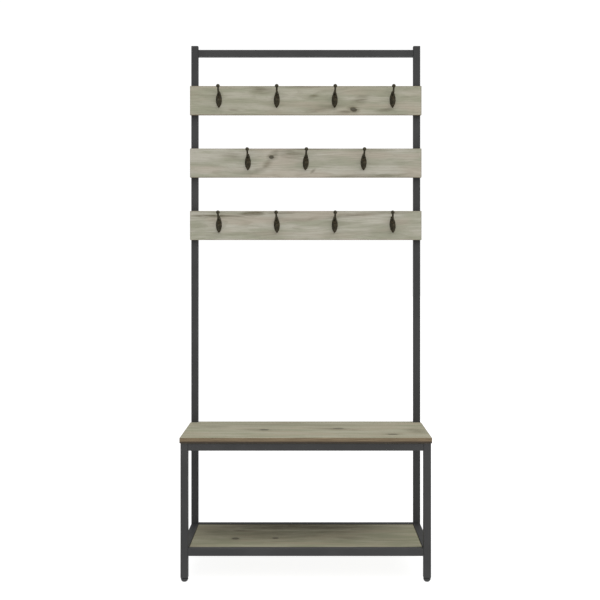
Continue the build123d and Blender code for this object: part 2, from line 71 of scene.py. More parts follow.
class Shader:
    """A material and short calls that add nodes to it. Each call returns the new node's output socket."""

    def __init__(self, name):
        self.material = bpy.data.materials.new(name)
        self.material.use_nodes = True
        self.tree = self.material.node_tree
        self.tree.nodes.clear()
        self.surface = self.add("ShaderNodeBsdfPrincipled")
        out = self.add("ShaderNodeOutputMaterial")
        self.tree.links.new(self.surface.outputs["BSDF"], out.inputs["Surface"])

    def add(self, kind, **settings):
        node = self.tree.nodes.new(kind)
        for key, value in settings.items():
            setattr(node, key, value)
        return node

    def feed(self, socket, value):
        """Link a socket, or set a plain value on it."""
        if isinstance(value, bpy.types.NodeSocket):
            self.tree.links.new(value, socket)
        elif value is not None:
            socket.default_value = value

    def feed_all(self, node, *values):
        """Feed a node's first inputs in order, and leave those given as None alone."""
        for socket, value in zip(node.inputs, values):
            self.feed(socket, value)

    def set(self, **inputs):
        """Feed the main shader's inputs, named with underscores for spaces."""
        for name, value in inputs.items():
            self.feed(self.surface.inputs[name.replace("_", " ")], value)

    def math(self, operation, a, b=None, c=None):
        node = self.add("ShaderNodeMath", operation=operation)
        self.feed_all(node, a, b, c)
        return node.outputs[0]

    def vector(self, operation, a, b=None):
        node = self.add("ShaderNodeVectorMath", operation=operation)
        self.feed_all(node, a, b)
        return node.outputs["Value" if operation == "LENGTH" else "Vector"]

    def coordinates(self, kind="Object"):
        return self.add("ShaderNodeTexCoord").outputs[kind]

    def split(self, vector):
        node = self.add("ShaderNodeSeparateXYZ")
        self.feed_all(node, vector)
        return node.outputs

    def join(self, x, y, z):
        node = self.add("ShaderNodeCombineXYZ")
        self.feed_all(node, x, y, z)
        return node.outputs[0]

    def mapping(self, vector, place, turn, size):
        """Coordinates from a place, turned and measured in shares of a size."""
        node = self.add("ShaderNodeMapping", vector_type="TEXTURE")
        self.feed_all(node, vector, place, turn, size)
        return node.outputs[0]

    def noise(self, vector, scale, detail=3.0, roughness=0.5):
        node = self.add("ShaderNodeTexNoise")
        self.feed(node.inputs["Vector"], vector)
        self.feed(node.inputs["Scale"], scale)
        self.feed(node.inputs["Detail"], detail)
        self.feed(node.inputs["Roughness"], roughness)
        return node.outputs["Fac"]

    def stretched_noise(self, vector, stretch, detail=3.0, roughness=0.5):
        """Noise with its own scale along each axis."""
        return self.noise(self.vector("MULTIPLY", vector, stretch), 1.0, detail, roughness)

    def span(self, value, low, high, to_low=0.0, to_high=1.0):
        """Map a range of values smoothly onto another, clamped at both ends."""
        node = self.add("ShaderNodeMapRange", interpolation_type="SMOOTHSTEP")
        self.feed_all(node, value, low, high, to_low, to_high)
        return node.outputs[0]

    def roughen(self, value, noise, reach):
        """A value moved up and down by noise that is centred on a half."""
        return self.math("MULTIPLY_ADD", self.math("SUBTRACT", noise, 0.5), reach, value)

    def mix(self, factor, a, b):
        node = self.add("ShaderNodeMix", data_type="RGBA")
        colour_a, colour_b = node.inputs[6], node.inputs[7]
        self.feed(node.inputs["Factor"], factor)
        self.feed(colour_a, a)
        self.feed(colour_b, b)
        return node.outputs[2]

    def bump(self, height, distance, strength):
        node = self.add("ShaderNodeBump")
        self.feed(node.inputs["Strength"], strength)
        self.feed(node.inputs["Distance"], distance)
        self.feed(node.inputs["Height"], height)
        return node.outputs[0]


def paint(node, material):
    """Give a CAD node one material."""
    mesh = NODES[node].data
    mesh.materials.clear()
    mesh.materials.append(material)


# ---------------------------------------------------------------- painted, cast and moulded finishes
# Scales are in noise waves per metre. Depths are how far the relief stands up.
COAT_CLOUDS = 9.0
COAT_PEEL = 900.0
COAT_SPECKS = 2600.0
COAT_PEEL_DEPTH = 0.06 * MM
COAT_ROUGHNESS = (0.50, 0.62)
MATT_SPECULAR = 0.3

PLASTIC_GRAIN = 1400.0
PLASTIC_WEAR = 60.0
PLASTIC_GRAIN_DEPTH = 0.04 * MM
PLASTIC_WEAR_LIGHT = 1.8
PLASTIC_ROUGHNESS = (0.52, 0.70)

PLATE_STAINS = 250.0
PLATE_GRAIN = 3000.0
PLATE_GRAIN_DEPTH = 0.02 * MM
PLATE_STAIN_LIGHT = 0.6
PLATE_ROUGHNESS = (0.35, 0.50)

BRONZE_PATINA = 160.0
BRONZE_PITS = 1500.0
BRONZE_PIT_DEPTH = 0.08 * MM
BRONZE_DARK = srgb(40, 38, 28)
BRONZE_BROWN = srgb(68, 61, 43)
BRONZE_ROUGHNESS = (0.38, 0.55)
BRONZE_METALLIC = 0.75


def powder_coat(name, colour, lighter):
    """Satin powder coat: fine orange peel, a faint cloudiness and small changes of sheen."""
    s = Shader(name)
    place = s.coordinates()
    clouds = s.noise(place, COAT_CLOUDS, detail=4.0)
    peel = s.noise(place, COAT_PEEL, detail=2.0)
    specks = s.noise(place, COAT_SPECKS, detail=1.0)
    tone = s.mix(s.span(clouds, 0.35, 0.7), colour, lighter)
    tone = s.mix(s.span(specks, 0.62, 0.78, 0.0, 0.35), tone, lighter)
    s.set(
        Base_Color=tone,
        Roughness=s.span(clouds, 0.3, 0.75, *COAT_ROUGHNESS),
        Specular_IOR_Level=MATT_SPECULAR,
        Normal=s.bump(peel, COAT_PEEL_DEPTH, strength=0.6),
    )
    return s.material


def moulded_plastic(name, colour):
    """Moulded plastic with a fine spark-eroded grain and a little wear."""
    s = Shader(name)
    place = s.coordinates()
    grain = s.noise(place, PLASTIC_GRAIN, detail=2.0)
    wear = s.noise(place, PLASTIC_WEAR, detail=4.0)
    s.set(
        Base_Color=s.mix(s.span(wear, 0.5, 0.8, 0.0, 0.6), colour, scaled(colour, PLASTIC_WEAR_LIGHT)),
        Roughness=s.span(wear, 0.3, 0.7, *PLASTIC_ROUGHNESS),
        Normal=s.bump(grain, PLASTIC_GRAIN_DEPTH, strength=0.5),
    )
    return s.material


def plated_steel(name, colour, metallic):
    """Plated fasteners: a fine grain and slight staining."""
    s = Shader(name)
    place = s.coordinates()
    stains = s.noise(place, PLATE_STAINS, detail=4.0)
    grain = s.noise(place, PLATE_GRAIN, detail=2.0)
    s.set(
        Base_Color=s.mix(s.span(stains, 0.35, 0.7), scaled(colour, PLATE_STAIN_LIGHT), colour),
        Roughness=s.span(stains, 0.3, 0.7, *PLATE_ROUGHNESS),
        Metallic=metallic,
        Normal=s.bump(grain, PLATE_GRAIN_DEPTH, strength=0.4),
    )
    return s.material


def cast_bronze(name):
    """Dark oil-rubbed bronze: brown showing through near-black, with the faint pitting of a casting."""
    s = Shader(name)
    place = s.coordinates()
    patina = s.noise(place, BRONZE_PATINA, detail=5.0, roughness=0.6)
    pits = s.noise(place, BRONZE_PITS, detail=3.0)
    s.set(
        Base_Color=s.mix(s.span(patina, 0.38, 0.68), BRONZE_DARK, BRONZE_BROWN),
        Roughness=s.span(patina, 0.3, 0.7, *BRONZE_ROUGHNESS),
        Metallic=BRONZE_METALLIC,
        Normal=s.bump(pits, BRONZE_PIT_DEPTH, strength=0.5),
    )
    return s.material


def finish_hardware():
    """Materials for every CAD node that isn't a board. Returns the hooks' bronze for the castings."""
    black_oxide = plated_steel("black_oxide_steel", srgb(40, 40, 40), 0.6)
    by_slot = {
        "frame_steel": powder_coat("charcoal_powder_coat", srgb(43, 43, 43), srgb(50, 50, 50)),
        "black_bolts": black_oxide,
        "stem_steel": black_oxide,
        "zinc_steel": plated_steel("zinc_plated_steel", srgb(186, 186, 188), 1.0),
        "hook_screw_finish": plated_steel("bronze_plated_steel", srgb(70, 60, 42), 0.8),
        "dark_plastic": moulded_plastic("black_plastic", srgb(38, 38, 38)),
        "inner_plastic": moulded_plastic("inner_plastic", srgb(50, 50, 50)),
        "hook_bronze": cast_bronze("dark_cast_bronze"),
    }
    for entry in frame["record"]["subparts"]:
        if entry["material_slot"] in by_slot:
            paint(entry["node"], by_slot[entry["material_slot"]])
    return by_slot["hook_bronze"]


# ---------------------------------------------------------------- marks and painted shade on the boards
class Mark:
    """A knot, a stained or dark streak, or a patch of painted shade on a board's face, in mm from the middle
    of the face.

    Its place is along the grain and across it, its size is its length and height, and turn is its slant in
    degrees.
    """

    def __init__(self, along, across, length, height, dark, turn=0.0, knot=False):
        self.place = (along * MM, across * MM, 0.0)
        self.half = (length * MM / 2, height * MM / 2, 1.0)
        self.dark = dark
        self.turn = (0.0, 0.0, math.radians(turn))
        self.knot = knot


TOP_MARKS = [
    Mark(171, -32, 25, 16, 0.85, turn=-12, knot=True),
    Mark(150, -40, 90, 16, 0.40, turn=4),
    Mark(196, 2, 86, 40, 0.34, turn=24),
    Mark(60, -30, 170, 26, 0.26, turn=10),
    Mark(29, 16, 40, 16, 0.34, turn=16),
    Mark(-163, 38, 100, 34, 0.28, turn=-4),
    Mark(-20, 50, 190, 9, 0.55),
    Mark(-257, -34, 50, 12, 0.30, turn=-8),
    Mark(285, -34, 90, 14, 0.32, turn=8),
]
MIDDLE_MARKS = [
    Mark(-123, 21, 18, 13, 0.90, knot=True),
    Mark(-112, 30, 60, 34, 0.34, turn=50),
    Mark(-138, -2, 66, 28, 0.34, turn=48),
    Mark(-168, -28, 90, 22, 0.30, turn=14),
    Mark(-52, 34, 110, 40, 0.42, turn=-6),
    Mark(-265, 26, 90, 30, 0.36, turn=-6),
    Mark(-20, 50, 260, 7, 0.60),
    Mark(25, -30, 26, 12, 0.45, turn=40),
    Mark(225, -46, 360, 16, 0.34, turn=1),
    Mark(225, 46, 190, 10, 0.26),
]
LOWER_MARKS = [
    Mark(-322, 34, 230, 11, 0.62),
    Mark(-192, 43, 110, 20, 0.55, turn=4),
    Mark(-80, 46, 160, 12, 0.42),
    Mark(196, 39, 260, 16, 0.42, turn=5),
    Mark(330, 46, 150, 10, 0.34),
    Mark(-4, 22, 190, 12, 0.30, turn=3),
]
SEAT_MARKS = [
    Mark(-143, -13, 32, 28, 0.74, knot=True),
    Mark(-160, -16, 150, 90, 0.30, turn=-8),
    Mark(-175, 70, 190, 34, 0.22, turn=4),
    Mark(112, 20, 36, 30, 0.54, knot=True),
    Mark(100, 6, 190, 66, 0.40, turn=-10),
    Mark(60, 80, 170, 44, 0.24),
    Mark(292, -118, 36, 24, 0.60, knot=True),
    Mark(300, -100, 110, 40, 0.16, turn=14),
    Mark(377, -37, 90, 150, 0.36),
    Mark(-330, 60, 190, 100, 0.20),
    # The two long marks across the back of the seat are painted shade: they darken its back.
    Mark(-40, 120, 900, 120, 0.16),
    Mark(0, 185, 900, 50, 0.22),
]
# The wide soft marks at the left (-310), along the back (-20, 135) and across the middle (-110) are painted
# shade from the seat above, laid over the wood's own darker streaks.
SHELF_MARKS = [
    Mark(-240, -44, 26, 28, 0.80, knot=True),
    Mark(-104, -38, 22, 22, 0.74, knot=True),
    Mark(-180, -20, 420, 70, 0.28),
    Mark(-225, 74, 170, 54, 0.52, turn=3),
    Mark(-310, 70, 300, 280, 0.34),
    Mark(-20, 135, 760, 130, 0.72),
    Mark(73, 50, 300, 60, 0.44, turn=4),
    Mark(190, 92, 170, 46, 0.28, turn=10),
    Mark(140, -34, 130, 60, 0.34, turn=-8),
    Mark(-110, 20, 520, 220, 0.40),
]

# ---------------------------------------------------------------- grey-washed wood
# Stretches are noise waves per metre along the grain, across it and into the wood.
WOBBLE = (22.0, 90.0, 60.0)
CRUMBLE = (130.0, 300.0, 60.0)
FLAME = (9.0, 210.0, 60.0)
NEEDLES = (26.0, 1300.0, 60.0)
DRIFT = (2.2, 14.0, 14.0)
FIBRES = (14.0, 900.0, 900.0)
PORES = (35.0, 1400.0, 1400.0)
CLOUDS = (6.0, 34.0, 20.0)
BLUSH = (4.5, 22.0, 14.0)
LINES = (3.5, 150.0, 60.0)

SEED_STEP = (3.7, 1.3, 2.9)
RING_WIDTH = 6.5 * MM
RING_DRIFT = 60.0 * MM
RING_RISE = (0.30, 0.90)  # shares of a year
RING_FALL = (0.93, 0.99)
PITH_DEPTH = 50.0 * MM
PITH_DEPTH_SWAY = 12.0 * MM
PITH_ACROSS_SWAY = 0.7  # of the half width
PITH_ACROSS_STEP = 2.1  # radians from one board's place in the trunk to the next
PITH_DEPTH_STEP = 1.7

# Distances in a knot, a stained streak or a patch of painted shade are shares of its own half size.
KNOT_HEART = (0.80, 1.02)
KNOT_BARK = 0.92
KNOT_BARK_WIDTH = 0.14
KNOT_RAGGED = 0.8
KNOT_RINGS = 14.0
KNOT_HALO = (0.6, 2.6)
KNOT_HALO_SHARE = 0.5
KNOT_PULL = 0.75
KNOT_PULL_FADE = 0.22
STAIN_AND_SHADE_RAGGED = 1.3
STAIN_AND_SHADE_REACH = 1.3

LIGHT_WASH = srgb(163, 160, 145)
GREEN_WASH = srgb(142, 142, 123)
PINK_WASH = srgb(158, 150, 134)
RING_TONE = srgb(98, 92, 72)
FIBRE_TONE = srgb(74, 68, 52)
KNOT_TONE = srgb(44, 40, 28)
STAIN_AND_SHADE_TONE = srgb(70, 62, 36)
BARE_DARK = srgb(82, 68, 49)
BARE_LIGHT = srgb(116, 99, 76)
# A dark lower arris, partly painted shade of the shadow line under a flat board's edge.
DARK_ARRIS_AND_SHADE = srgb(40, 32, 24)

RING_SHARE = 0.15
LINE_SHARE = 0.20
FIBRE_SHARE = 0.22
PORE_SHARE = 0.4
BLUSH_SHARE = 0.8
EDGE_SHARE = 0.94
DARK_ARRIS_AND_SHADE_SHARE = 0.95
ARRIS_FRAY = 2.5 * MM
ARRIS_BAND = (0.6 * MM, 3.2 * MM)
# Heights from a flat board's bottom face over which its edges go from painted shade and dark arris to plain
# brown.
DARK_ARRIS_AND_SHADE_BAND = (5.0 * MM, 7.5 * MM)
WOOD_ROUGHNESS = (0.76, 0.62)
GRAIN_DEPTH = 0.25 * MM
RING_RELIEF = 0.5
PORE_RELIEF = 0.8
KNOT_RELIEF = 0.5

# Each board's axis across the grain, its marks, how worn its arrises are, and its share of the wash's light.
# The share is painted light and shade: the same wash made lighter or darker for the light on each board,
# darkest on the seat and on the shelf in the seat's shade.
BOARDS = {
    "top_hook_board": ("Z", TOP_MARKS, 0.35, 1.0),
    "middle_hook_board": ("Z", MIDDLE_MARKS, 0.35, 1.07),
    "lower_hook_board": ("Z", LOWER_MARKS, 0.35, 1.06),
    "seat_board": ("Y", SEAT_MARKS, 0.45, 0.90),
    "shelf_board": ("Y", SHELF_MARKS, 0.3, 0.84),
}


def dimmed(colour, share):
    """A wash colour with its light scaled. It turns a little yellower as it gets darker."""
    red, green, blue = colour[:3]
    return (red * share, green * share, blue * share**1.7, 1.0)


class Board:
    """A board inside a shader: places from its middle, as x along the grain, across it and depth into it."""

    def __init__(self, s, node, across_axis):
        low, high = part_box(node)
        half = (high - low) / 2
        self.x, y, z = s.split(s.vector("SUBTRACT", s.coordinates(), (low + high) / 2))
        normal = s.split(s.coordinates("Normal"))
        self.lies_flat = across_axis == "Y"
        self.half_length = half.x
        if self.lies_flat:
            self.across, self.depth, self.facing = y, z, normal[2]
            self.half_across, self.half_depth = half.y, half.z
        else:
            self.across, self.depth, self.facing = z, y, normal[1]
            self.half_across, self.half_depth = half.z, half.y
        self.face = s.join(self.x, self.across, self.depth)


def knot_wood(s, distance, strength):
    """A knot's dark heart with its own rings, inside a rim of bark."""
    heart = s.span(distance, *KNOT_HEART, strength, 0.0)
    rings = s.span(s.math("SINE", s.math("MULTIPLY", distance, KNOT_RINGS)), -0.7, 0.7, 0.78, 1.0)
    from_bark = s.math("ABSOLUTE", s.math("SUBTRACT", distance, KNOT_BARK))
    bark = s.span(from_bark, 0.0, KNOT_BARK_WIDTH, strength, 0.0)
    return s.math("MAXIMUM", s.math("MULTIPLY", heart, rings), bark)


def bend_round(s, flow, mark, local, distance):
    """Grain that parts round a knot, less and less away from it."""
    pull = s.math("EXPONENT", s.math("MULTIPLY", s.math("MULTIPLY", distance, distance), -KNOT_PULL_FADE))
    rise = s.math("MULTIPLY", s.split(local)[1], mark.half[1])
    return s.math("SUBTRACT", flow, s.math("MULTIPLY", s.math("MULTIPLY", rise, pull), KNOT_PULL))


def draw_marks(s, board, marks):
    """The grain's flow round the knots, how dark the knots are, and how dark the stains and the patches of
    painted shade are.
    """
    wobble = s.stretched_noise(board.face, WOBBLE, detail=4.0, roughness=0.6)
    crumble = s.stretched_noise(board.face, CRUMBLE, detail=4.0, roughness=0.65)
    flame = s.stretched_noise(board.face, FLAME, detail=4.0, roughness=0.62)
    needles = s.stretched_noise(board.face, NEEDLES, detail=3.0, roughness=0.6)
    flames = s.span(flame, 0.34, 0.62, 0.55, 1.6)
    drawn_out = s.math("MULTIPLY", flames, s.span(needles, 0.3, 0.66, 0.55, 1.4))
    flow = board.across
    dark = 0.0
    stain_and_shade = 0.0
    for mark in marks:
        local = s.mapping(board.face, mark.place, mark.turn, mark.half)
        distance = s.vector("LENGTH", local)
        if mark.knot:
            rough = s.roughen(distance, crumble, KNOT_RAGGED)
            dark = s.math("MAXIMUM", dark, knot_wood(s, rough, mark.dark))
            flow = bend_round(s, flow, mark, local, distance)
            shade = s.span(distance, *KNOT_HALO, mark.dark * KNOT_HALO_SHARE, 0.0)
        else:
            rough = s.roughen(distance, wobble, STAIN_AND_SHADE_RAGGED)
            shade = s.span(rough, 0.0, STAIN_AND_SHADE_REACH, mark.dark, 0.0)
        stain_and_shade = s.math("MAXIMUM", stain_and_shade, s.math("MULTIPLY", shade, drawn_out))
    return flow, dark, stain_and_shade


def growth_rings(s, board, flow, drift, seed):
    """Year rings round a pith behind the board. Each year darkens slowly and ends sharply."""
    pith_across = board.half_across * PITH_ACROSS_SWAY * math.sin(seed * PITH_ACROSS_STEP)
    pith_depth = PITH_DEPTH + PITH_DEPTH_SWAY * math.cos(seed * PITH_DEPTH_STEP)
    across = s.math("SUBTRACT", flow, pith_across)
    depth = s.math("ADD", board.depth, pith_depth)
    radius = s.math("MULTIPLY_ADD", drift, RING_DRIFT, s.vector("LENGTH", s.join(0.0, across, depth)))
    year = s.math("FRACT", s.math("MULTIPLY", radius, 1.0 / RING_WIDTH))
    return s.math("MULTIPLY", s.span(year, *RING_RISE), s.span(year, *RING_FALL, 1.0, 0.0))


def brown_edges_and_lower_shade(s, board, tone, fibres, worn_edge):
    """Brown wood on the edges and in a worn line along each arris. On a flat board each edge darkens towards
    its bottom: partly a dark lower arris, partly painted shade of the shadow line under the board.
    """
    reach_x = s.math("SUBTRACT", board.half_length, s.math("ABSOLUTE", board.x))
    reach_across = s.math("SUBTRACT", board.half_across, s.math("ABSOLUTE", board.across))
    inside = s.roughen(s.math("MINIMUM", reach_x, reach_across), fibres, ARRIS_FRAY)
    arris = s.span(inside, *ARRIS_BAND, worn_edge, 0.0)
    edge = s.span(s.math("ABSOLUTE", board.facing), 0.45, 0.75, EDGE_SHARE, 0.0)
    brown = s.mix(s.span(fibres, 0.3, 0.7), BARE_DARK, BARE_LIGHT)
    tone = s.mix(s.math("MAXIMUM", edge, arris), tone, brown)
    if board.lies_flat:
        # Painted shade: a flat board's edges darken towards the bottom, partly a dark lower arris and partly
        # the shadow line under the board.
        dark_to, light_from = (height - board.half_depth for height in DARK_ARRIS_AND_SHADE_BAND)
        below = s.span(board.depth, dark_to, light_from, DARK_ARRIS_AND_SHADE_SHARE, 0.0)
        tone = s.mix(s.math("MULTIPLY", below, edge), tone, DARK_ARRIS_AND_SHADE)
    return tone


def washed_wood(name, node, across_axis, marks, seed, worn_edge, share):
    """Grey-washed softwood on a board whose grain runs along X and whose face spans X and across_axis.

    Growth rings lie round a pith behind the board, so the face shows long open curves. They bend round the
    knots. A thin wash evens the face, with greener and pinker clouds. The edges and arrises show brown wood.
    """
    s = Shader(name)
    board = Board(s, node, across_axis)
    flow, dark, stain_and_shade = draw_marks(s, board, marks)

    def streaks(stretch, offset, detail=3.0, roughness=0.5):
        """Noise drawn out along the grain. The offset gives each kind of streak its own part of it."""
        grain = s.vector("MULTIPLY", s.join(board.x, flow, board.depth), stretch)
        along, over, through = (seed * step for step in SEED_STEP)
        return s.noise(s.vector("ADD", grain, (along + offset, over, through)), 1.0, detail, roughness)

    drift = streaks(DRIFT, 0.0, detail=2.0)
    fibres = streaks(FIBRES, 7.0, roughness=0.65)
    pores = s.span(streaks(PORES, 13.0, detail=1.0), 0.66, 0.74)
    clouds = streaks(CLOUDS, 19.0, roughness=0.55)
    blush = streaks(BLUSH, 29.0, detail=2.0)
    lines = s.span(streaks(LINES, 41.0, detail=2.0), 0.60, 0.72)
    ring = growth_rings(s, board, flow, drift, seed)

    # The board's share paints its light and shade into the wash's tones.
    tone = s.mix(s.span(clouds, 0.36, 0.64), dimmed(LIGHT_WASH, share), dimmed(GREEN_WASH, share))
    tone = s.mix(s.span(blush, 0.45, 0.68, 0.0, BLUSH_SHARE), tone, dimmed(PINK_WASH, share))
    tone = s.mix(s.math("MULTIPLY", ring, RING_SHARE), tone, RING_TONE)
    tone = s.mix(s.math("MULTIPLY", lines, LINE_SHARE), tone, RING_TONE)
    tone = s.mix(s.span(fibres, 0.35, 0.75, FIBRE_SHARE, 0.0), tone, FIBRE_TONE)
    tone = s.mix(s.math("MULTIPLY", pores, PORE_SHARE), tone, FIBRE_TONE)
    # Stains and the patches of painted shade share one tone.
    tone = s.mix(stain_and_shade, tone, STAIN_AND_SHADE_TONE)
    tone = s.mix(dark, tone, KNOT_TONE)
    tone = brown_edges_and_lower_shade(s, board, tone, fibres, worn_edge)

    height = s.math("SUBTRACT", fibres, s.math("MULTIPLY", pores, PORE_RELIEF))
    height = s.math("MULTIPLY_ADD", ring, RING_RELIEF, height)
    height = s.math("SUBTRACT", height, s.math("MULTIPLY", dark, KNOT_RELIEF))
    s.set(
        Base_Color=tone,
        Roughness=s.span(fibres, 0.3, 0.75, *WOOD_ROUGHNESS),
        Specular_IOR_Level=MATT_SPECULAR,
        Normal=s.bump(height, GRAIN_DEPTH, strength=0.7),
    )
    return s.material


def finish_boards():
    """Give every board its own wood, each with another seed."""
    for seed, (node, (axis, marks, worn, share)) in enumerate(BOARDS.items(), start=1):
        paint(node, washed_wood(node + "_wood", node, axis, marks, seed, worn, share))


# ---------------------------------------------------------------- cast hooks
# Millimetres, from the middle of the leaf, with the board behind it at Y = 0 and the room towards -Y. Angles
# are in degrees, and each row's leans go from left to right.
HOOK_BELOW_EDGE = 50.5
HOOK_LEANS = {"top": (0.0, 1.0, 1.0, 1.0), "middle": (0.0, 3.0, 1.0), "lower": (0.0, -2.0, 1.0, -4.0)}
LEAF_TOP = 31.0
LEAF_BOTTOM = -28.5
LEAF_HALF_WIDTH = 10.75
LEAF_NECK = 3.6
LEAF_TIP = 0.4
LEAF_FACE = 3.5
LEAF_RIM = 1.3
LEAF_STEPS = 28
LEAF_SHOULDERS = ((1.0, 0.39), (0.6, 0.71))
LEAF_POINT = ((1.0, 0.39), (0.79, 0.7))
LEAF_ROLLS = (0.0, 0.28, 0.55, 0.78, 0.94, 1.0)
ARM_LINE = ((0.0, 21.0), (14.0, 21.6), (29.0, 23.5), (41.0, 30.5), (50.0, 44.0))
ARM_THICKNESS = (10.5, 8.2, 7.4, 7.0, 6.6)
ARM_BALL = 13.5
PRONG_LINE = ((0.0, -4.0), (9.0, -12.0), (19.0, -19.4), (24.6, -15.5), (26.3, -2.5))
PRONG_THICKNESS = (8.6, 6.6, 6.2, 5.8, 5.2)
PRONG_BALL = 9.5
ARM_STEPS = 10
ARM_AROUND = 24
BALL_AROUND = 32
BALL_RINGS = 20
SCREW_HEIGHTS = (9.0, -21.5)
SHANK_HOLE = 3.8
HEAD_HOLE = 7.3
COUNTERSINK = 2.0
DRILL_PAST_BACK = 1.0
DRILL_PAST_FACE = 3.0
DRILL_AROUND = 32
CAST_VOXEL = 0.55
CAST_SMOOTHING = 6
CAST_SHARP_ANGLE = 50
CAD_SHARP_ANGLE = 28


def bezier(points, steps):
    """Points along one Bezier curve, its start included and its end left out."""
    out = []
    degree = len(points) - 1
    for step in range(steps):
        u = step / steps
        shares = [math.comb(degree, i) * u**i * (1 - u) ** (degree - i) for i in range(degree + 1)]
        out.append(sum((Vector(p) * share for p, share in zip(points, shares)), Vector((0, 0))))
    return out


def smooth_line(points, steps):
    """Points and values on a Catmull-Rom curve through rows of numbers."""
    rows = [Vector(p) for p in points]
    rows = [2 * rows[0] - rows[1], *rows, 2 * rows[-1] - rows[-2]]
    out = []
    for a, b, c, d in zip(rows, rows[1:], rows[2:], rows[3:]):
        square = 2 * a - 5 * b + 4 * c - d
        cube = 3 * b - a - 3 * c + d
        for step in range(steps):
            u = step / steps
            out.append(0.5 * ((2 * b) + (c - a) * u + square * u**2 + cube * u**3))
    return out + [rows[-2]]


def loft(mesh, rows):
    """Join closed rows of vertices into a skin, and close both ends."""
    for a, b in zip(rows, rows[1:]):
        for i in range(len(a)):
            j = (i + 1) % len(a)
            mesh.faces.new((a[i], a[j], b[j], b[i]))
    mesh.faces.new(list(reversed(rows[0])))
    mesh.faces.new(rows[-1])


def leaf_half_outline():
    """The right-hand edge of the leaf, from its top to its point."""
    shoulders = [(LEAF_HALF_WIDTH * a, LEAF_TOP * b) for a, b in LEAF_SHOULDERS]
    point = [(LEAF_HALF_WIDTH * a, LEAF_BOTTOM * b) for a, b in LEAF_POINT]
    upper = bezier([(LEAF_NECK, LEAF_TOP), *reversed(shoulders), (LEAF_HALF_WIDTH, 0)], LEAF_STEPS)
    lower = bezier([(LEAF_HALF_WIDTH, 0), *point, (0, LEAF_BOTTOM)], LEAF_STEPS)
    return upper + lower + [Vector((LEAF_TIP, LEAF_BOTTOM))]


def add_leaf(mesh):
    """The leaf: a flat back, and a face that rolls down to a thin rim."""
    across = [-roll for roll in reversed(LEAF_ROLLS)] + list(LEAF_ROLLS[1:])
    rows = []
    for edge in leaf_half_outline():
        row = []
        for share in across:
            fall = (LEAF_FACE - LEAF_RIM) * (1 - math.sqrt(1 - share**4))
            row.append(mesh.verts.new((share * edge.x, fall - LEAF_FACE, edge.y)))
        row += [mesh.verts.new((side * edge.x, 0.0, edge.y)) for side in (1, -1)]
        rows.append(row)
    loft(mesh, rows)


def add_arm(mesh, line, thickness, ball):
    """A tapered round arm along a line given as forward and up, with a ball at its end."""
    path = smooth_line([(y, z, d) for (y, z), d in zip(line, thickness)], ARM_STEPS)
    across = Vector((1, 0, 0))
    rows = []
    for i, (forward, up, wide) in enumerate(path):
        before, after = path[max(i - 1, 0)], path[min(i + 1, len(path) - 1)]
        run = Vector((0, before.x - after.x, after.y - before.y)).normalized()
        side = run.cross(across)
        centre = Vector((0, -forward, up))
        ring = []
        for k in range(ARM_AROUND):
            angle = 2 * math.pi * k / ARM_AROUND
            spoke = across * math.cos(angle) + side * math.sin(angle)
            ring.append(mesh.verts.new(centre + spoke * wide / 2))
        rows.append(ring)
    loft(mesh, rows)
    forward, up = line[-1]
    end = Matrix.Translation((0, -forward, up))
    bmesh.ops.create_uvsphere(
        mesh, u_segments=BALL_AROUND, v_segments=BALL_RINGS, radius=ball / 2, matrix=end
    )


def add_drill(mesh, height):
    """The cutter for one countersunk screw hole, from behind the leaf to in front of it."""
    profile = (
        (DRILL_PAST_BACK, SHANK_HOLE),
        (COUNTERSINK - LEAF_FACE, SHANK_HOLE),
        (-LEAF_FACE, HEAD_HOLE),
        (-LEAF_FACE - DRILL_PAST_FACE, HEAD_HOLE),
    )
    rings = []
    for y, wide in profile:
        ring = []
        for k in range(DRILL_AROUND):
            angle = 2 * math.pi * k / DRILL_AROUND
            x = math.cos(angle) * wide / 2
            z = height + math.sin(angle) * wide / 2
            ring.append(mesh.verts.new((x, y, z)))
        rings.append(ring)
    loft(mesh, rings)


def new_object(name, mesh):
    """Turn a bmesh in millimetres into an object in the scene, with its faces turned outwards."""
    bmesh.ops.recalc_face_normals(mesh, faces=mesh.faces)
    bmesh.ops.scale(mesh, vec=(MM,) * 3, verts=mesh.verts)
    data = bpy.data.meshes.new(name)
    mesh.to_mesh(data)
    mesh.free()
    thing = bpy.data.objects.new(name, data)
    bpy.context.scene.collection.objects.link(thing)
    return thing


def settled_mesh(thing, name):
    """The mesh of an object with its modifiers applied. The object itself is then removed."""
    bpy.context.view_layer.update()
    graph = bpy.context.evaluated_depsgraph_get()
    data = bpy.data.meshes.new_from_object(thing.evaluated_get(graph))
    data.name = name
    bpy.data.objects.remove(thing)
    return data


def flatten_back(data):
    """Press what the melting left behind the board's face flat onto it."""
    for vertex in data.vertices:
        vertex.co.y = min(vertex.co.y, 0.0)


def shade_smooth(data, sharp_angle):
    """Shade a mesh smooth, with sharp edges kept where faces meet at more than an angle in degrees."""
    for face in data.polygons:
        face.use_smooth = True
    data.set_sharp_from_angle(angle=math.radians(sharp_angle))


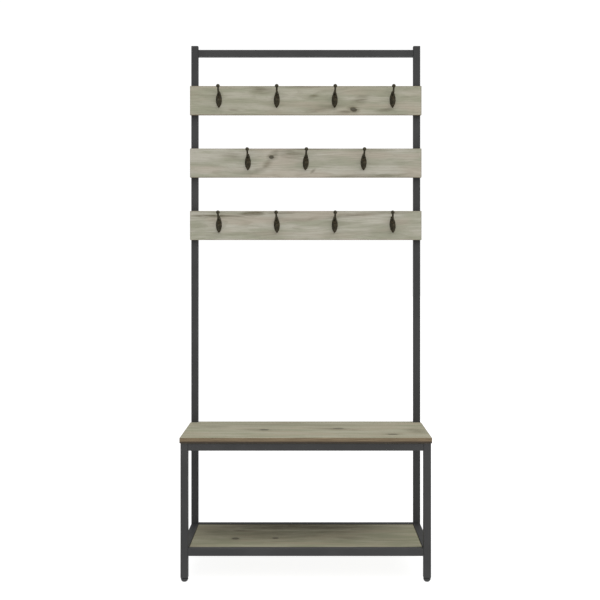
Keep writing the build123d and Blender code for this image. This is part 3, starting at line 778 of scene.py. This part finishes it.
def hook_mesh():
    """One casting: leaf, arms and balls melted into one skin, with countersunk screw holes."""
    solid = bmesh.new()
    add_leaf(solid)
    add_arm(solid, ARM_LINE, ARM_THICKNESS, ARM_BALL)
    add_arm(solid, PRONG_LINE, PRONG_THICKNESS, PRONG_BALL)
    casting = new_object("casting", solid)
    melt = casting.modifiers.new("melt", "REMESH")
    melt.mode = "VOXEL"
    melt.voxel_size = CAST_VOXEL * MM
    soften = casting.modifiers.new("soften", "SMOOTH")
    soften.factor = 0.5
    soften.iterations = CAST_SMOOTHING

    drills = bmesh.new()
    for height in SCREW_HEIGHTS:
        add_drill(drills, height)
    cutter = new_object("drill", drills)
    cut = casting.modifiers.new("cut", "BOOLEAN")
    cut.object = cutter
    cut.operation = "DIFFERENCE"
    cut.solver = "EXACT"
    data = settled_mesh(casting, "hook_casting")
    bpy.data.objects.remove(cutter)
    flatten_back(data)
    shade_smooth(data, CAST_SHARP_ANGLE)
    return data


def hang_hooks(bronze):
    """Stand a smooth casting in the place of every plain hook."""
    casting = hook_mesh()
    casting.materials.append(bronze)
    hooks_in_full_row = max(len(leans) for leans in HOOK_LEANS.values())
    for row, leans in HOOK_LEANS.items():
        low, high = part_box(row + "_hook_board")
        spacing = (high.x - low.x) / hooks_in_full_row
        for number, lean in enumerate(leans):
            node = f"hook_{row}_{number + 1}"
            piece = bpy.data.objects.new("cast_" + node, casting)
            x = (number - (len(leans) - 1) / 2) * spacing
            place = Matrix.Translation((x, low.y, high.z - HOOK_BELOW_EDGE * MM))
            piece.matrix_world = place @ Matrix.Rotation(math.radians(lean), 4, "Y")
            bpy.context.scene.collection.objects.link(piece)
            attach(piece, "frame")
            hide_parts(node)


# ---------------------------------------------------------------- floor, light and camera
# Metres and degrees. The camera's sensor and lens are in millimetres, and its shift is in shares of the
# picture's width.
WHITE = (1.0, 1.0, 1.0, 1.0)
SEEN_WHITE = 1.05
SKY = 0.5
KEY_STRENGTH = 3.2
KEY_SPREAD = 75.0
KEY_TILT = 32.0
KEY_TURN = 25.0
KEY_HEIGHT = 4.0
FLOOR_SIZE = 60.0
FLOOR_TONE = (0.22, 0.22, 0.22, 1.0)
FLOOR_GLOW = 0.90
FLOOR_ROUGHNESS = 0.9
CAMERA_SENSOR = 36.0
CAMERA_LENS = 72.2
CAMERA_SHIFT = (-0.0096, -0.0684)
CAMERA_DISTANCE = 3.953
CAMERA_HEIGHT = 1.0625


def make_floor():
    """A white studio floor, lit from below as a light table is, so that only faint contact shadows show."""
    bpy.ops.mesh.primitive_plane_add(size=FLOOR_SIZE)
    floor = bpy.context.object
    floor.name = "floor"
    s = Shader("pale_floor")
    s.set(
        Base_Color=FLOOR_TONE,
        Roughness=FLOOR_ROUGHNESS,
        Specular_IOR_Level=0.0,
        Emission_Color=WHITE,
        Emission_Strength=FLOOR_GLOW,
    )
    floor.data.materials.append(s.material)


def make_world():
    """An even white studio, seen as plain white and dimmer as light."""
    world = bpy.data.worlds.new("studio")
    bpy.context.scene.world = world
    world.use_nodes = True
    tree = world.node_tree
    tree.nodes.clear()
    out = tree.nodes.new("ShaderNodeOutputWorld")
    both = tree.nodes.new("ShaderNodeMixShader")
    lit = tree.nodes.new("ShaderNodeBackground")
    seen = tree.nodes.new("ShaderNodeBackground")
    path = tree.nodes.new("ShaderNodeLightPath")
    for background, strength in ((lit, SKY), (seen, SEEN_WHITE)):
        background.inputs["Strength"].default_value = strength
        background.inputs["Color"].default_value = WHITE
    tree.links.new(path.outputs["Is Camera Ray"], both.inputs["Fac"])
    tree.links.new(lit.outputs[0], both.inputs[1])
    tree.links.new(seen.outputs[0], both.inputs[2])
    tree.links.new(both.outputs[0], out.inputs["Surface"])


def make_sun():
    """A wide soft light from above, in front and a little to the right, even over the whole floor."""
    data = bpy.data.lights.new("key", "SUN")
    data.energy = KEY_STRENGTH
    data.angle = math.radians(KEY_SPREAD)
    sun = bpy.data.objects.new("key", data)
    turn = Matrix.Rotation(math.radians(KEY_TURN), 4, "Z")
    tilt = Matrix.Rotation(math.radians(KEY_TILT), 4, "X")
    sun.rotation_euler = (turn @ tilt).to_euler()
    sun.location = (0.0, 0.0, KEY_HEIGHT)
    bpy.context.scene.collection.objects.link(sun)


def make_camera():
    """A level camera in front of the frame, a little above its middle."""
    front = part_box("left_front_leg")[0].y
    data = bpy.data.cameras.new("camera")
    data.sensor_width = CAMERA_SENSOR
    data.lens = CAMERA_LENS
    data.shift_x, data.shift_y = CAMERA_SHIFT
    camera = bpy.data.objects.new("camera", data)
    camera.location = (0.0, front - CAMERA_DISTANCE, CAMERA_HEIGHT)
    camera.rotation_euler = (math.radians(90), 0, 0)
    bpy.context.scene.collection.objects.link(camera)
    bpy.context.scene.camera = camera


for node in NODES.values():
    shade_smooth(node.data, CAD_SHARP_ANGLE)
hang_hooks(finish_hardware())
finish_boards()
make_floor()
make_world()
make_sun()
make_camera()
bpy.context.scene.view_settings.view_transform = "Standard"
